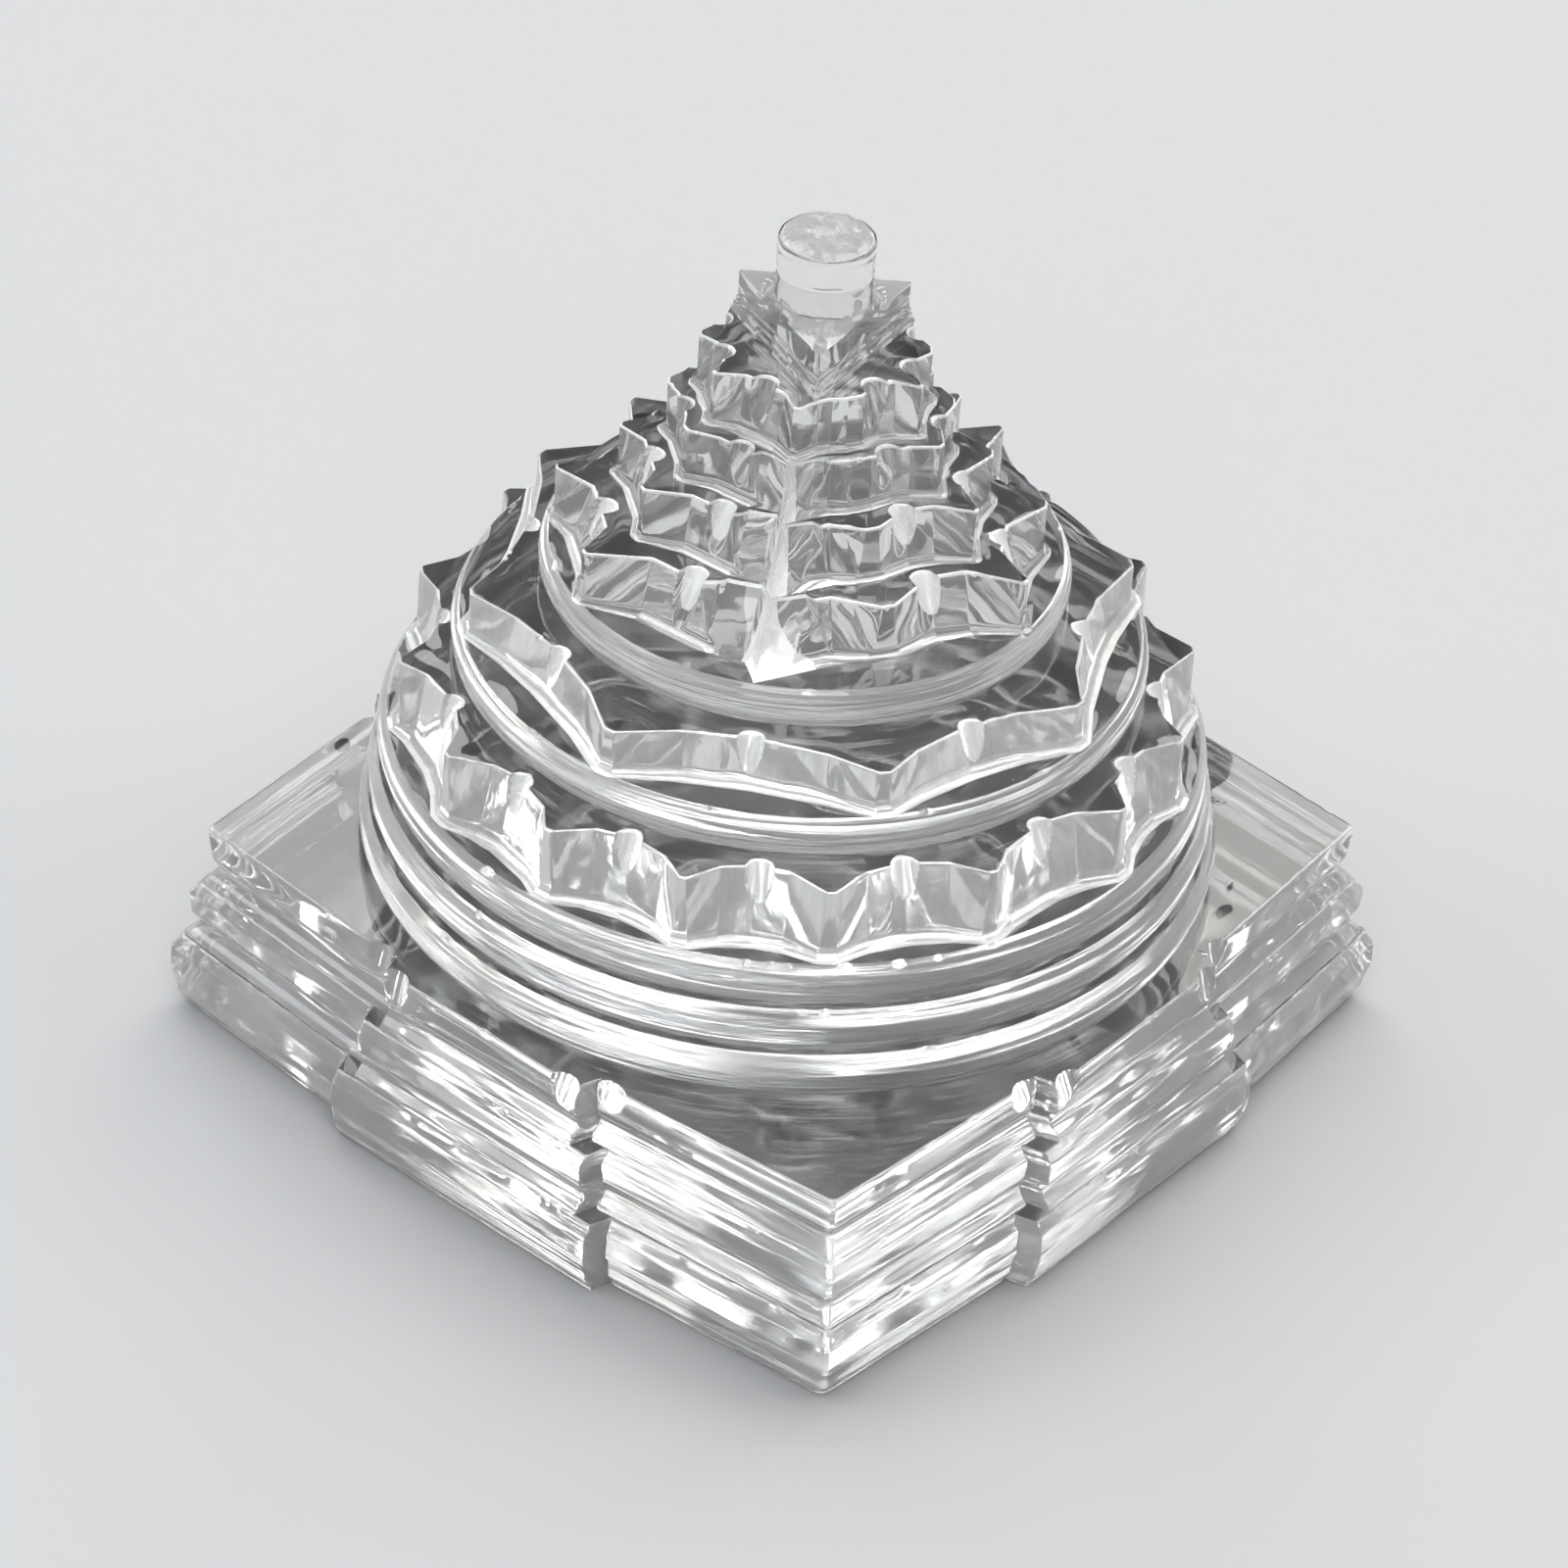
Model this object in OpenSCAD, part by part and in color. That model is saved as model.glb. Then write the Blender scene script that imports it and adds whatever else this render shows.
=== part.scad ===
// Meru shri yantra in clear rock crystal: a stepped, carved mountain of tiers.
// A square base of three moulded courses with a gate on each side carries three rings,
// a sixteen petal lotus, an eight petal lotus, four star tiers, a triangle and the bindu.
// The origin is on the ground at the centre, +Z up, in millimetres.

/* [Square base] */
// Width of the upper course between its corners
base_w = 42; // [38:0.5:48]
// How far each half of a side turns out from the square between its corner and the gate, in degrees
side_splay = 4.7; // [0:0.1:5]
// Height of the lower course
lower_h = 4.4; // [3:0.1:5]
// Height of the middle course
middle_h = 3.4; // [2:0.1:4]
// Height of the upper course
upper_h = 3.5; // [2.4:0.1:4]
// How far the middle course stands out past the upper one
middle_out = 0.7; // [0.3:0.1:1.6]
// How far the lower course stands out past the middle one
lower_out = 0.7; // [0.3:0.1:1.6]
// How far the side of the lower and middle courses bulges out past its edges
course_bulge = 0.5; // [0.2:0.05:0.9]
// How far the flatter side of the upper course bulges out past its edges
upper_bulge = 0.2; // [0.2:0.05:0.5]

/* [Gates] */
// Width of the gate in the middle of each side of the upper course
gate_w = 13.6; // [10:0.2:16]
// How much wider the gate is in each course below
gate_flare = 2.2; // [0:0.1:3]
// How far a gate stands out past the corners of its course
gate_out = 2.2; // [1.9:0.1:2.8]
// Angle between the two walls of the groove at each end of a gate
groove_angle = 34; // [20:1:50]
// How far the groove at each end of a gate cuts in past the face of the corner block
groove_depth = 0.3; // [0.1:0.05:0.6]
// Radius of the thumb scoops at the top of a gate's ends
scoop_r = 1; // [0.8:0.1:1.4]
// Depth of the thumb scoops at the upper edge
scoop_depth = 0.6; // [0.3:0.05:0.7]

/* [Three rings] */
// Height of each ring
ring_h = 2.45; // [1.8:0.05:3.2]
// How far each ring is set back from the one below
ring_step = 0.45; // [0.2:0.05:0.8]
// How far a ring's side bulges out past its edges
ring_bulge = 0.45; // [0.1:0.05:0.8]
// How far the lowest ring stays inside the place where a gate's end crosses the square of the corners
ring_edge = 0.1; // [0.05:0.05:0.6]

/* [Sixteen petal lotus] */
// Height of the petal wall
sixteen_h = 3.9; // [2.5:0.1:5]
// Width of the rim outside the petal cusps
sixteen_rim = 0.7; // [0.3:0.05:1.2]
// How far each petal is hollowed between its cusps
sixteen_hollow = 1.1; // [0.5:0.05:1.6]

/* [Eight petal lotus] */
// Flat ledge between the sixteen petals and the plinth of the eight
sixteen_ledge = 0.9; // [0.5:0.05:2]
// Height of the round plinth under the eight petals
plinth_h = 2.2; // [1.4:0.1:3]
// Height of the petal wall
eight_h = 2.3; // [1.5:0.1:3.5]
// Width of the rim outside the petal cusps
eight_rim = 0.5; // [0.2:0.05:1]
// How far each petal is hollowed between its cusps
eight_hollow = 1; // [0.4:0.05:1.6]
// Turn of the eight petals about the axis, in degrees
eight_turn = 4; // [-10:0.5:10]

/* [Star tiers] */
// Flat ledge between the eight petals and the disc under the star
eight_ledge = 1; // [0.5:0.05:2]
// Height of the disc under the star
disc_h = 2.2; // [1.4:0.1:3]
// Width of the disc's rim outside the corners of the first star
disc_rim = 0.5; // [0.2:0.05:1]
// Height of each star tier
star_h = 2.85; // [2:0.05:3.6]
// How far the second star's corners are set back from the first's
star_2_back = 3.1; // [2.4:0.05:3.4]
// How far the third star's corners are set back from the second's
star_3_back = 2.25; // [1.8:0.05:2.5]
// How far the fourth star's corners are set back from the third's
star_4_back = 1.4; // [1:0.05:1.6]
// Middling corners of a star, as a part of the reach of the long ones
middling_part = 0.93; // [0.88:0.01:1]
// Short corners of a star, as a part of the reach of the long ones
short_part = 0.82; // [0.76:0.01:0.92]
// Hollow of a star's sides, as a part of the distance between two corners
star_hollow = 0.1; // [0.04:0.01:0.14]
// How far the sloping spur runs from the first star's front corner
spur_length = 4.2; // [3.2:0.1:4.6]

/* [Notches] */
// Radius of the small notch in the upper edge of each petal and side
notch_r = 0.62; // [0.4:0.02:0.8]
// How far a notch cuts in past the hollow at the upper edge
notch_depth = 0.45; // [0.2:0.05:0.6]
// Lean of a notch from the vertical, in degrees
notch_lean = 16; // [8:1:26]

/* [Triangle and bindu] */
// Distance from the axis to the triangle's corners
triangle_reach = 4.9; // [4.6:0.05:5.2]
// Height of the triangle's wall
triangle_h = 2.4; // [1.6:0.1:3.2]
// Height of the moulding at the triangle's foot
foot_h = 0.5; // [0.3:0.05:1]
// How far the foot moulding stands out past the triangle's sides
foot_out = 0.15; // [0.05:0.01:0.2]
// Height of the sloping collar round the bindu
collar_h = 0.5; // [0.2:0.05:0.9]
// Width of the sloping collar round the bindu
collar_w = 0.6; // [0.2:0.05:1]
// Diameter of the bindu
bindu_d = 4.8; // [3.6:0.1:4.9]
// Height of the bindu
bindu_h = 3.2; // [2:0.1:4.5]

/* [Hidden] */
$fn = 96;
crystal = [0.86, 0.9, 0.92];

// A cutter reaches this far past what it cuts
past = 1;

// Half widths of the courses between their corners
upper_half = base_w / 2;
middle_half = upper_half + middle_out;
lower_half = middle_half + lower_out;
gate_half = gate_w / 2;
middle_gate_half = gate_half + gate_flare / 2;
lower_gate_half = middle_gate_half + gate_flare / 2;

// Radii of the round tiers, each from the one that carries it
outer_ring_r = norm([upper_half, gate_half]) - ring_edge;
middle_ring_r = outer_ring_r - ring_step;
inner_ring_r = middle_ring_r - ring_step;
sixteen = 16;
sixteen_reach = inner_ring_r - sixteen_rim;
sixteen_inner = sixteen_reach * cos(180 / sixteen) - sixteen_hollow - notch_depth;
plinth_r = sixteen_inner - sixteen_ledge;
eight = 8;
eight_reach = plinth_r - eight_rim;
eight_inner = eight_reach * cos(180 / eight) - eight_hollow - notch_depth;
disc_r = eight_inner - eight_ledge;

// Reach of the long corners of each star tier
star_1_reach = disc_r - disc_rim;
star_2_reach = star_1_reach - star_2_back;
star_3_reach = star_2_reach - star_3_back;
star_4_reach = star_3_reach - star_4_back;

// Corners of a star as [angle, part of the reach], going round from the front ridge
front_angle = -61;
star_corners = [
    [front_angle, 1], [-28, short_part], [7, 1], [40, middling_part], [75, middling_part],
    [110, short_part], [145, middling_part], [180, middling_part], [215, 1], [250, 1]
];
// Each face of the front spur is turned this far from the front corner's direction
spur_angle = 50;
// One corner of the triangle points to the front
triangle_turn = -52;

// Levels of the tiers' undersides
middle_z = lower_h;
upper_z = middle_z + middle_h;
rings_z = upper_z + upper_h;
sixteen_z = rings_z + 3 * ring_h;
plinth_z = sixteen_z + sixteen_h;
eight_z = plinth_z + plinth_h;
disc_z = eight_z + eight_h;
star_z = disc_z + disc_h;
trikona_z = star_z + 4 * star_h;
bindu_z = trikona_z + triangle_h + collar_h;

// Point at an angle and a distance from the axis
function polar(angle, reach) = [reach * cos(angle), reach * sin(angle)];

// Distance from the middle of a course to the face of a corner block, where it meets the gate
function block_face(half, gate) = half + (half - gate) * tan(side_splay);

// Radius of an arc over a chord with a given rise
function arc_radius(chord, rise) = (chord * chord / 4 + rise * rise) / (2 * rise);

// Upright section from the axis out to reach, whose outer side bulges
module bulged_section(reach, height, bulge) {
    arc = arc_radius(height, bulge);
    intersection() {
        square([reach, height]);
        union() {
            square([reach - bulge, height]);
            translate([reach - arc, height / 2]) circle(r = arc);
        }
    }
}

// Straight bar along Y with bulged sides at plus and minus reach
module moulded_bar(reach, height, bulge, length) {
    translate([0, length / 2, 0])
        rotate([90, 0, 0])
            linear_extrude(height = length) {
                bulged_section(reach, height, bulge);
                mirror([1, 0]) bulged_section(reach, height, bulge);
            }
}

// Upright section outside a bulged side at reach, out to far
module outside_section(reach, height, bulge, far) {
    arc = arc_radius(height, bulge);
    difference() {
        translate([0, -past]) square([far, height + 2 * past]);
        translate([0, -2 * past]) square([reach - bulge, height + 4 * past]);
        translate([reach - arc, height / 2]) circle(r = arc);
    }
}

// Clears what lies outside the bulged face of a corner block, from the gate's end to past the corner
module block_cutter(half, gate, height, bulge) {
    reach = half * (cos(side_splay) + sin(side_splay));
    start = gate * cos(side_splay) - block_face(half, gate) * sin(side_splay);
    end = 2 * half;
    rotate([0, 0, side_splay])
        translate([0, end, 0])
            rotate([90, 0, 0])
                linear_extrude(height = end - start)
                    outside_section(reach, height, bulge, 2 * half);
}

// One square course of the base: a square as wide as its gates, cut back to the corner blocks beside them
module course(half, gate, height, bulge) {
    difference() {
        intersection() {
            moulded_bar(half + gate_out, height, bulge, 3 * half);
            rotate([0, 0, 90]) moulded_bar(half + gate_out, height, bulge, 3 * half);
        }
        gate_ends() {
            block_cutter(half, gate, height, bulge);
            groove(half, gate, height);
        }
    }
}

// Places what it is given at both ends of all four gates, with the side facing +X
module gate_ends() {
    for (quarter = [0, 90, 180, 270], end = [0, 1]) {
        rotate([0, 0, quarter]) mirror([0, end, 0]) children();
    }
}

// Upright groove between a gate and the corner block beside it
module groove(half, gate, height) {
    bottom = block_face(half, gate) - groove_depth;
    reach = half + gate_out + past;
    spread = (reach - bottom) * tan(groove_angle / 2);
    translate([0, 0, -past])
        linear_extrude(height = height + 2 * past)
            polygon([[bottom, gate], [reach, gate - spread], [reach, gate + spread]]);
}

// Round cutter that leans out below: at the level top it cuts depth past the place wall
module leaning_cutter(wall, top, radius, depth, lean) {
    long = 2 * top + 4 * radius;
    translate([wall - depth, 0, top])
        rotate([0, -lean, 0])
            translate([radius, 0, -long / 2])
                cylinder(r = radius, h = long);
}

// Outline with a hollow arc between each pair of corners, corners given as points
module hollowed_outline(corners, hollows) {
    count = len(corners);
    difference() {
        polygon([for (point = corners) point * (1 + past / norm(point))]);
        for (i = [0 : count - 1]) {
            start = corners[i];
            chord = corners[(i + 1) % count] - start;
            arc = arc_radius(norm(chord), hollows[i]);
            outward = [chord[1], -chord[0]] / norm(chord);
            translate(start + chord / 2 + outward * (arc - hollows[i])) circle(r = arc);
        }
    }
}

// Tier with hollowed sides and a small leaning notch in the middle of each upper edge
module hollowed_tier(corners, hollows, height) {
    count = len(corners);
    difference() {
        linear_extrude(height = height) hollowed_outline(corners, hollows);
        for (i = [0 : count - 1]) {
            start = corners[i];
            chord = corners[(i + 1) % count] - start;
            middle = start + chord / 2;
            facing = atan2(-chord[0], chord[1]);
            translate(middle)
                rotate([0, 0, facing])
                    leaning_cutter(-hollows[i], height, notch_r, notch_depth, notch_lean);
        }
    }
}

// Ring or disc whose side bulges
module round_tier(radius, height, bulge) {
    rotate_extrude() bulged_section(radius, height, bulge);
}

// Even lotus of petals hollowed into a round tier
module lotus(count, reach, hollow, height, turn) {
    corners = [for (i = [0 : count - 1]) polar(turn + i * 360 / count, reach)];
    hollows = [for (i = [0 : count - 1]) hollow];
    hollowed_tier(corners, hollows, height);
}

// One star tier with long and short corners
module star_tier(reach) {
    corners = [for (corner = star_corners) polar(corner[0], corner[1] * reach)];
    count = len(corners);
    hollows = [for (i = [0 : count - 1]) star_hollow * norm(corners[(i + 1) % count] - corners[i])];
    hollowed_tier(corners, hollows, star_h);
}

// Cutter for the spur at the front of the first star: two sloping faces that meet in a ridge,
// which runs from the foot of the first star's front corner up to the second star's
module front_spur_cutter() {
    run = (star_1_reach - star_2_reach) * cos(spur_angle);
    slope = atan2(star_h, run);
    size = 2 * star_h + 2 * spur_length;
    rotate([0, 0, front_angle]) translate([star_1_reach, 0, 0]) intersection() {
        translate([0, 0, -past]) cylinder(r = spur_length, h = star_h + 2 * past);
        union() {
            for (side = [-1, 1]) {
                rotate([0, 0, side * spur_angle])
                    rotate([0, slope, 0])
                        translate([-size, -size, 0]) cube([2 * size, 2 * size, size]);
            }
        }
    }
}

module bhupura_lower_course() {
    color(crystal) course(lower_half, lower_gate_half, lower_h, course_bulge);
}

module bhupura_middle_course() {
    color(crystal) translate([0, 0, middle_z])
        course(middle_half, middle_gate_half, middle_h, course_bulge);
}

// The upper course also has two thumb scoops at each end of its gates, one in the gate and one beside it
module bhupura_upper_course() {
    face = block_face(upper_half, gate_half);
    color(crystal) translate([0, 0, upper_z]) difference() {
        course(upper_half, gate_half, upper_h, upper_bulge);
        gate_ends() {
            translate([0, gate_half - 1.1 * scoop_r, 0])
                leaning_cutter(upper_half + gate_out, upper_h, scoop_r, scoop_depth, notch_lean);
            translate([0, gate_half + 1.15 * scoop_r, 0])
                leaning_cutter(face, upper_h, scoop_r, scoop_depth, notch_lean);
        }
    }
}

module outer_ring() {
    color(crystal) translate([0, 0, rings_z]) round_tier(outer_ring_r, ring_h, ring_bulge);
}

module middle_ring() {
    color(crystal) translate([0, 0, rings_z + ring_h]) round_tier(middle_ring_r, ring_h, ring_bulge);
}

module inner_ring() {
    color(crystal) translate([0, 0, rings_z + 2 * ring_h]) round_tier(inner_ring_r, ring_h, ring_bulge);
}

module sixteen_petal_lotus() {
    color(crystal) translate([0, 0, sixteen_z])
        lotus(sixteen, sixteen_reach, sixteen_hollow, sixteen_h, 0);
}

module eight_petal_plinth() {
    color(crystal) translate([0, 0, plinth_z]) round_tier(plinth_r, plinth_h, ring_bulge);
}

module eight_petal_lotus() {
    color(crystal) translate([0, 0, eight_z])
        lotus(eight, eight_reach, eight_hollow, eight_h, eight_turn);
}

module star_disc() {
    color(crystal) translate([0, 0, disc_z]) round_tier(disc_r, disc_h, ring_bulge);
}

// The first star's front corner runs up to the second star as a sloping spur
module star_tier_1() {
    color(crystal) translate([0, 0, star_z]) difference() {
        star_tier(star_1_reach);
        front_spur_cutter();
    }
}

module star_tier_2() {
    color(crystal) translate([0, 0, star_z + star_h]) star_tier(star_2_reach);
}

module star_tier_3() {
    color(crystal) translate([0, 0, star_z + 2 * star_h]) star_tier(star_3_reach);
}

module star_tier_4() {
    color(crystal) translate([0, 0, star_z + 3 * star_h]) star_tier(star_4_reach);
}

// Triangle on a foot moulding, with a sloping collar that carries the bindu
module trikona() {
    corners = [for (i = [0 : 2]) polar(triangle_turn + 120 * i, 1)];
    color(crystal) translate([0, 0, trikona_z]) {
        linear_extrude(height = foot_h) polygon(corners * (triangle_reach + 2 * foot_out));
        linear_extrude(height = triangle_h) polygon(corners * triangle_reach);
        intersection() {
            linear_extrude(height = triangle_h + collar_h) polygon(corners * triangle_reach);
            translate([0, 0, triangle_h])
                cylinder(r1 = bindu_d / 2 + collar_w, r2 = bindu_d / 2, h = collar_h);
        }
    }
}

module bindu() {
    color(crystal) translate([0, 0, bindu_z]) cylinder(d = bindu_d, h = bindu_h);
}

bhupura_lower_course();
bhupura_middle_course();
bhupura_upper_course();
outer_ring();
middle_ring();
inner_ring();
sixteen_petal_lotus();
eight_petal_plinth();
eight_petal_lotus();
star_disc();
star_tier_1();
star_tier_2();
star_tier_3();
star_tier_4();
trikona();
bindu();
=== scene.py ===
import math

import bpy
import numpy as np
from mathutils import Matrix, Vector


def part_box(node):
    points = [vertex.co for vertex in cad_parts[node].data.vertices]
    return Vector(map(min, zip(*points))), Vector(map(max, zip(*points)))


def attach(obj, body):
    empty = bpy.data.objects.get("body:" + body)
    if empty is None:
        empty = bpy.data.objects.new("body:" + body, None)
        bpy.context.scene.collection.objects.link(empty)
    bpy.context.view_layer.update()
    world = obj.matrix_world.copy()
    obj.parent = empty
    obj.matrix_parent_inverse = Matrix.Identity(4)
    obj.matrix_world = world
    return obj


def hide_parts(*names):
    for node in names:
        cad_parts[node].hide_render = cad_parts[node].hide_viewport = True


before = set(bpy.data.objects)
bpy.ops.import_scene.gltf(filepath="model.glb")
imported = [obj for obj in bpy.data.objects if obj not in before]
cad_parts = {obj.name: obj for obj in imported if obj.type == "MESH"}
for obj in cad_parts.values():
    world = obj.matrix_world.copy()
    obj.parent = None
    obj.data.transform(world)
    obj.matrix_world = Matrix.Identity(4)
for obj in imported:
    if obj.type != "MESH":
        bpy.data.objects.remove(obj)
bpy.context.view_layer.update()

# Lengths are in millimetres and meshes are written in metres, in the frame's own axes.
MM = 0.001

# How finely a tier is cut: directions round the axis, and levels up its side
DIRECTIONS = 1440
LEVELS = 30
# How far the levels are drawn together towards both edges, from zero to one
LEVEL_EASE = 0.65
# Directions that are added on the front ridge: steps to each side, and the angle of a step
FINE_STEPS = 60
FINE_STEP = math.radians(0.1)
# Edges that turn by more than this stay sharp
SHARP_ANGLE = math.radians(32)

# The square base: gates in the middle of the sides and the grooves beside them
GATE_OUT = 2.2
GATE_HALVES = {"bhupura_lower_course": 9.0, "bhupura_middle_course": 7.9, "bhupura_upper_course": 6.8}
SIDE_SPLAY = math.radians(4.7)
GROOVE_DEPTH = 0.3
GROOVE_SLOPE = math.tan(math.radians(17))
CORNER_BLUNT = 0.12
COURSE_EDGE = 0.12
# Mouldings as (share of the height, how far the side is drawn in)
COURSE_PROFILES = {
    "bhupura_lower_course": [(0, 0.7), (0.22, 0.25), (0.55, 0.0), (0.8, 0.02), (1, 0.36)],
    "bhupura_middle_course": [(0, -0.18), (0.26, 0.4), (0.5, 0.06), (0.8, 0.0), (1, 0.36)],
    "bhupura_upper_course": [(0, -0.25), (0.28, 0.36), (0.5, 0.1), (0.9, 0.0), (1, 0.04)],
}
SCOOP_R = 1.0
SCOOP_DEPTH = 0.6
SCOOP_LEAN = math.radians(16)
# How far from the gate's edge the two scoops lie, into the gate and into the block beside it
SCOOP_IN = 1.1
SCOOP_OUT = 1.0

# Rings, petals and stars
RING_BULGE = 0.45
# A thin line turned below the rim of two round tiers: share of the height, depth, and share that it is wide
LATHE_LINES = {"eight_petal_plinth": 0.82, "star_disc": 0.8}
LATHE_LINE_DEPTH = 0.08
LATHE_LINE_WIDTH = 0.05
NOTCH_R = 0.7
NOTCH_DEPTH = 0.5
NOTCH_LEAN = math.radians(16)
EIGHT_TURN = math.radians(4)
# Lotuses as (count of petals, depth of their hollows at the foot and at the top, turn round the axis)
LOTUSES = {"sixteen_petal_lotus": (16, 0.85, 1.8, 0.0), "eight_petal_lotus": (8, 0.75, 1.4, EIGHT_TURN)}
# Cusps that were cut a little aside from an even spread, in degrees
CUSP_SHIFTS = {
    "sixteen_petal_lotus": {0: 3, 9: 2, 10: 3, 11: 4, 12: 3.5, 13: 2, 15: 1},
    "eight_petal_lotus": {5: 1, 6: 2.5, 7: 5},
}
PETAL_BLUNT = 0.26
PETAL_EDGE = 0.1
PETAL_FOOT = 0.55
# Seams between the flat wheel cuts of a hollow as shares of its half width, how far they wander, and its ends
PETAL_SEAMS = (-0.55, -0.02, 0.52)
PETAL_SEAM_DRIFT = 0.12
PETAL_SEAM_END = 1.1
# Share of a petal's width that its seams are laid out on
PETAL_SEAM_WIDTH = 0.9
# Depth of the hollow in a star's face as a share of its width, and how much deeper it is at the top
STAR_HOLLOW = 0.1
STAR_SCOOPS = {"star_tier_1": 1.2, "star_tier_2": 0.65, "star_tier_3": 0.0, "star_tier_4": 0.6}
# Faces of the top star that stay upright, because they carry the corners of the triangle
TRIANGLE_FACES = (0, 3, 7)
STAR_SEAMS = (-0.3, 0.36)
STAR_SEAM_DRIFT = 0.15
STAR_SEAM_END = 1.05
STAR_EDGE = 0.08
STAR_FOOT = 0.4
STAR_BLUNT = 0.14
# How far round from a star's corner its blunt end can lie
STAR_BLUNT_SPAN = math.radians(5)
# A star is cut from a round blank of this many times its reach
STAR_BLANK = 1.2
# Corners of the stars as (direction in degrees, share of the reach), from the front one round
FRONT_CORNER = -61
FRONT = math.radians(FRONT_CORNER)
MIDDLING = 0.93
SHORT = 0.82
STAR_CORNERS = [
    (FRONT_CORNER, 1), (-28, SHORT), (7, 1), (40, MIDDLING), (75, MIDDLING),
    (110, SHORT), (145, MIDDLING), (180, MIDDLING), (215, 1), (250, 1),
]
STAR_REACHES = {"star_tier_1": 12.79, "star_tier_2": 9.69, "star_tier_3": 7.44, "star_tier_4": 6.04}
# How quickly the front ridge of a star draws in above its foot: below one, it flares at the foot
RIDGE_FLARE = {"star_tier_1": 0.6, "star_tier_2": 0.9, "star_tier_3": 0.9}
# The front ridge, with angles in degrees: how far aside it changes the star, and the spread of its flanks
RIDGE_SPAN = 30
RIDGE_SPREAD = 16
# Angle aside past which a ridge's outline is held
RIDGE_FARTHEST = 60
# How much wider the flanks spread at the foot
RIDGE_SPREAD_LEFT = 10
RIDGE_SPREAD_RIGHT = 38
# Size of the soft creases between the ridges, the valleys and the star
CREASE = 0.08
# The valleys beside the ridge: their reach at the foot as a share of the star's, how far they clear the next
# star's foot and rise with each degree aside, and the angle past which they rise more steeply
VALLEY_REACH = 0.88
VALLEY_CLEAR = 0.03
VALLEY_SLOPE = 0.02
VALLEY_SPAN = 15
VALLEY_RISE = 0.12
# The smaller ridge right of it: its reach as a share of the star's, its spread and its angle aside, and how
# far it draws in and comes nearer towards the top
SHOULDER_REACH = 0.9
SHOULDER_DRAW = 0.08
SHOULDER_SPREAD = 40
SHOULDER_ASIDE = 24
SHOULDER_NEARER = 5
# The ground strip on the ridge in degrees: half of its width, how much wider it is at the foot to the left
# and to the right, and the share of that on the upper stars
STRIP_HALF = 2
STRIP_LEFT = 3
STRIP_RIGHT = 12
STRIP_ABOVE = 0.2
# Stars whose notches were left ground
GROUND_STARS = ("star_tier_1", "star_tier_2")
# Width of the band along the upper edges of the stars that was left ground
GROUND_EDGE = 0.1
# The face right of the front ridge has no notch, and the next one's is nearer to the ridge
RIDGE_FACE = 0
NOTCH_SHIFTS = {1: -0.15}
TRIANGLE_TURN = math.radians(-52)
TRIANGLE_REACH = 4.9
TRIANGLE_WALL = 2.4
TRIANGLE_BLUNT = 0.1
TRIANGLE_FOOT = [
    (0, 0.17), (0.1, 0.2), (0.14, 0.08), (0.24, 0.14), (0.28, 0.03), (0.38, 0.07), (0.44, 0), (1.3, 0),
]
COLLAR_W = 0.6
COLLAR_H = 0.5
BINDU_R = 2.4
BINDU_EDGE = 0.14
# Facets round the bindu, and how far it is from round towards faceted
BINDU_FACETS = 13
BINDU_FACETED = 0.25
# The faint line round the bindu: share of the height, depth, and share that it is wide
BINDU_LINE = 0.42
BINDU_LINE_DEPTH = 0.05
BINDU_LINE_WIDTH = 0.035
# The top of the bindu: height of its dome, depth and length of its waves, and their seed
BINDU_DOME = 0.06
BINDU_WAVE_DEPTH = 0.035
BINDU_WAVE = 1.4
BINDU_SEED = 7

TURN = 2 * math.pi


def levels_of(node):
    """Lowest and highest level of a CAD node."""
    low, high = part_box(node)
    return low.z / MM, high.z / MM


def reach_of(node):
    """How far a CAD node reaches along +X."""
    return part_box(node)[1].x / MM


def groove_points(node, drawn=0.0):
    """Gate's edge, groove's floor and groove's far edge as (direction from the gate's middle, distance)."""
    gate_x = reach_of(node) - drawn
    half, gate_half = reach_of(node) - GATE_OUT, GATE_HALVES[node]
    face = half + (half - gate_half) * math.tan(SIDE_SPLAY) - drawn
    floor = face - GROOVE_DEPTH
    far = GROOVE_DEPTH * GROOVE_SLOPE
    corners = [
        (gate_x, gate_half - (gate_x - floor) * GROOVE_SLOPE),
        (floor, gate_half),
        (face - far * math.tan(SIDE_SPLAY), gate_half + far),
    ]
    return [(math.atan2(y, x), math.hypot(x, y)) for x, y in corners]


def cusps_of(node):
    """Directions of the cusps between the petals of a lotus."""
    count, _, _, turn = LOTUSES[node]
    return [turn + i * TURN / count + math.radians(CUSP_SHIFTS[node].get(i, 0)) for i in range(count)]


def all_directions():
    """Directions round the axis: an even spread, and every corner exactly."""
    exact = [math.radians(a) for a, _ in STAR_CORNERS]
    for node in LOTUSES:
        exact += cusps_of(node)
    exact += [TURN * i / 3 + TRIANGLE_TURN for i in range(3)]
    exact += [FRONT + i * FINE_STEP for i in range(-FINE_STEPS, FINE_STEPS + 1)]
    for quarter in range(4):
        middle = quarter * math.pi / 2
        exact.append(middle + math.pi / 4)
        for node in GATE_HALVES:
            for angle, _ in groove_points(node):
                exact += [middle + angle, middle - angle]
    exact = np.unique(np.round(np.array(exact) % TURN, 6))
    even = np.arange(DIRECTIONS) * TURN / DIRECTIONS
    gap = np.abs((even[:, None] - exact[None, :] + math.pi) % TURN - math.pi).min(axis=1)
    return np.sort(np.concatenate([even[gap > TURN / DIRECTIONS / 3], exact]))


ANGLE = all_directions()
COS = np.cos(ANGLE)
SIN = np.sin(ANGLE)


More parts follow.
